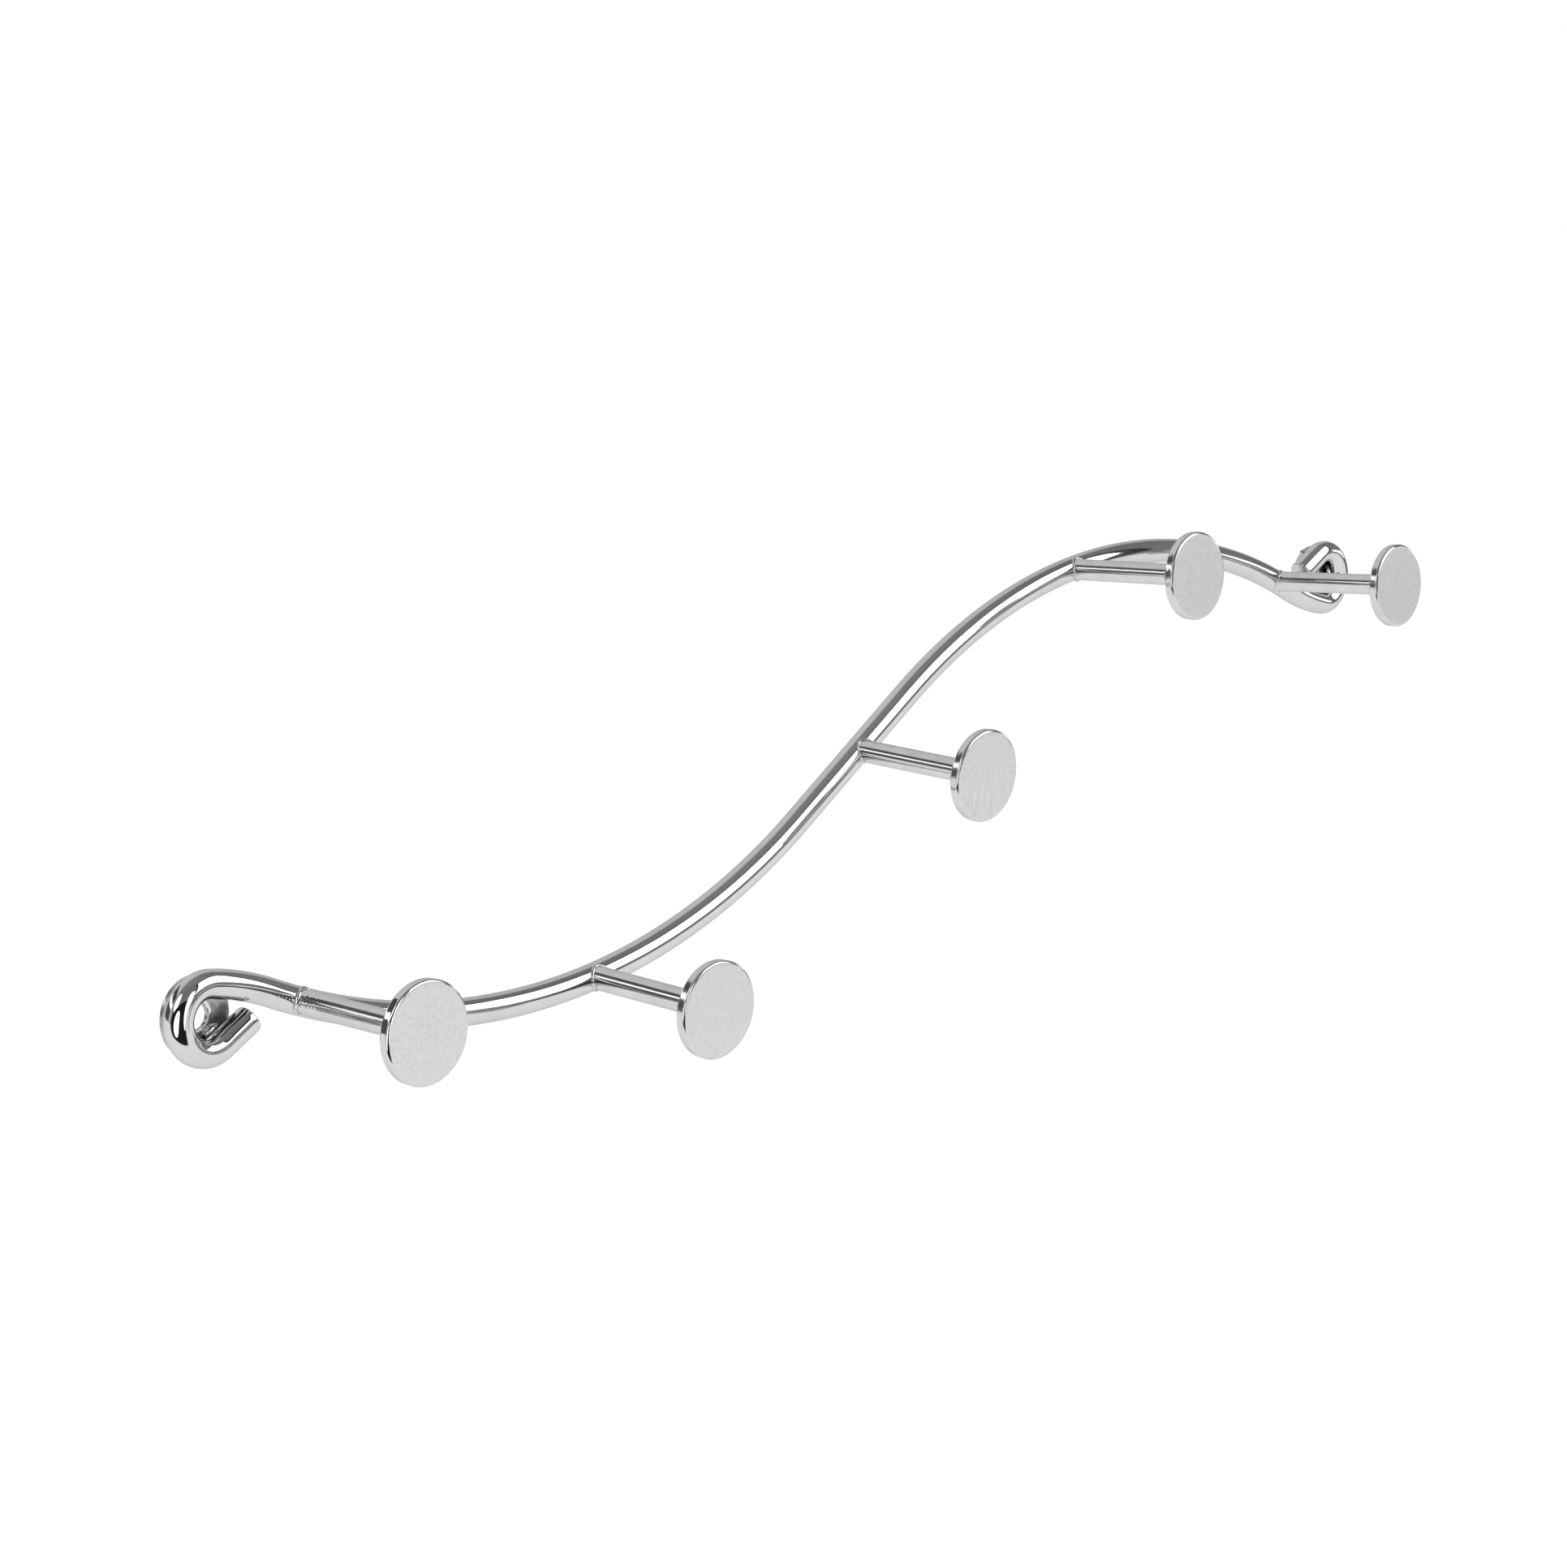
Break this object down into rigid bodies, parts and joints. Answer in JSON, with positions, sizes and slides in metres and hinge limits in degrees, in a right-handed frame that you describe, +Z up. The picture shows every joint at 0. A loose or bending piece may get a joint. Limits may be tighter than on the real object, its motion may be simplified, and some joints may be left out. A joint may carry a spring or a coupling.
{
  "type": "wall hook rack",
  "caption": "Wall hook rack: a round rod bent into a long flat S, an eye with a drilled washer at each end and round-capped pegs.",
  "frame": {"origin": "halfway between the centres of the two screw holes, on the wall plane that the washers' backs rest on", "axes": "+Z up as the rack hangs, +X to the right along the wall, -Y out of the wall towards the room"},
  "size_m": [0.5363, 0.0578, 0.1317],
  "materials": {
    "bright_chrome": "mirror-bright chrome plate on round steel rod",
    "satin_chrome": "satin chrome plate with a faint mottle and fine pits",
    "dull_chrome": "dull, slightly stained chrome plate on a stamped washer",
    "weld_chrome": "chrome plate over rippled weld metal"
  },
  "bodies": {
    "root": {"bent_rod": "bright_chrome", "eye_washer_left": "dull_chrome", "eye_washer_right": "dull_chrome", "stem_1": "bright_chrome", "stem_2": "bright_chrome", "stem_3": "bright_chrome", "stem_4": "bright_chrome", "stem_5": "bright_chrome", "cap_1": "satin_chrome", "cap_2": "satin_chrome", "cap_3": "satin_chrome", "cap_4": "satin_chrome", "cap_5": "satin_chrome", "stem_weld_1": "weld_chrome", "stem_weld_2": "weld_chrome", "stem_weld_3": "weld_chrome", "stem_weld_4": "weld_chrome", "stem_weld_5": "weld_chrome", "cap_weld_1": "weld_chrome", "cap_weld_2": "weld_chrome", "cap_weld_3": "weld_chrome", "cap_weld_4": "weld_chrome", "cap_weld_5": "weld_chrome", "eye_weld_left_inner": "weld_chrome", "eye_weld_left_outer": "weld_chrome", "eye_weld_right_inner": "weld_chrome", "eye_weld_right_outer": "weld_chrome"}
  },
  "joints": []
}
